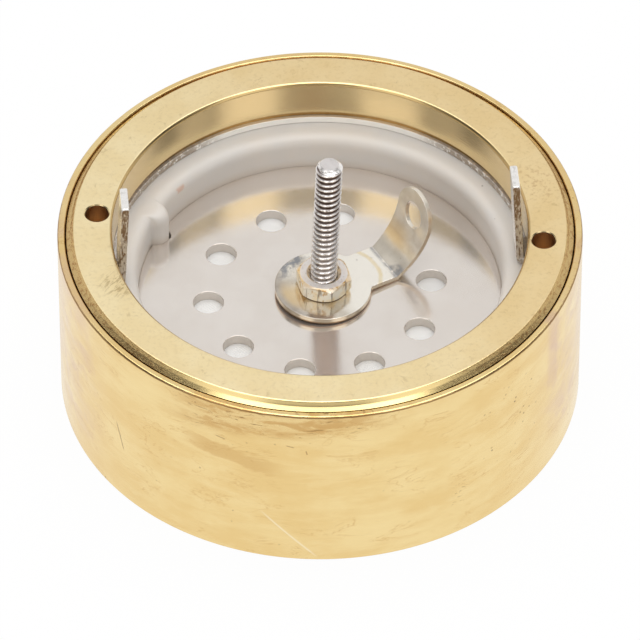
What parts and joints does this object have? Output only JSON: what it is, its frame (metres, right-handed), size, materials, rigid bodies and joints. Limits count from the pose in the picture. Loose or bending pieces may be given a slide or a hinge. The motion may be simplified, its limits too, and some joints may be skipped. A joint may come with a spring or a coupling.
{
  "type": "condenser microphone capsule",
  "caption": "Large-diaphragm microphone capsule in a brass barrel, with a screwed lock ring, white insulator, perforated rear plate, terminal tabs and a centre screw with solder lug.",
  "frame": {"origin": "centre of the front rim's face, on the capsule's axis", "axes": "+Z out of the capsule's rear, past the terminals; +X towards the terminal tab that stands beside the solder lug's arm"},
  "size_m": [0.034, 0.034, 0.019],
  "materials": {
    "housing_brass": "polished, with fine scratches and faint tarnish",
    "lock_ring_brass": "turned matte brass",
    "washer_nickel": "nickel-plated sheet with sheared edges",
    "white_nylon": "soft satin moulded nylon",
    "plate_nickel": "satin nickel plate",
    "damping_cloth": "fine white cloth",
    "bush_brass": "plain turned",
    "backplate_brass": "lapped",
    "spacer_film": "clear amber film",
    "gold_film": "gold-coated polyester film, mirror smooth",
    "tension_ring_brass": "turned",
    "screw_steel": "bright nickel-plated thread",
    "nut_nickel": "bright nickel with a warm cast",
    "lug_tinned": "tinned sheet with stains"
  },
  "bodies": {
    "capsule": {"housing": "housing_brass", "insulator": "white_nylon", "rear_plate": "plate_nickel", "damping_cloth": "damping_cloth", "spacing_bush": "bush_brass", "backplate": "backplate_brass", "spacer_ring": "spacer_film", "diaphragm": "gold_film", "diaphragm_ring": "tension_ring_brass", "centre_screw": "screw_steel"},
    "contact_washer": {"contact_washer": "washer_nickel"},
    "lock_ring": {"lock_ring": "lock_ring_brass"},
    "screw_nut": {"screw_nut": "nut_nickel"},
    "solder_lug": {"solder_lug": "lug_tinned"}
  },
  "joints": [
    {"name": "ring_rise", "type": "slide", "parent": "capsule", "child": "contact_washer", "axis": [0, 0, 1], "range_m": [0, 0.003]},
    {"name": "ring_turn", "type": "hinge", "parent": "contact_washer", "child": "lock_ring", "pos_m": [0, 0, 0.0104], "axis": [0, 0, 1], "range_deg": [0, 2160]},
    {"name": "nut_lift", "type": "slide", "parent": "capsule", "child": "screw_nut", "axis": [0.0366, 0, 0.9993], "range_m": [0, 0.012]},
    {"name": "lug_swivel", "type": "hinge", "parent": "capsule", "child": "solder_lug", "pos_m": [0.0002, 0, 0.00776], "axis": [0.0366, 0, 0.9993], "continuous": true}
  ],
  "couplings": [
    {"joint": "ring_rise", "follows": "ring_turn", "m_per_rad": 0.000079577}
  ]
}
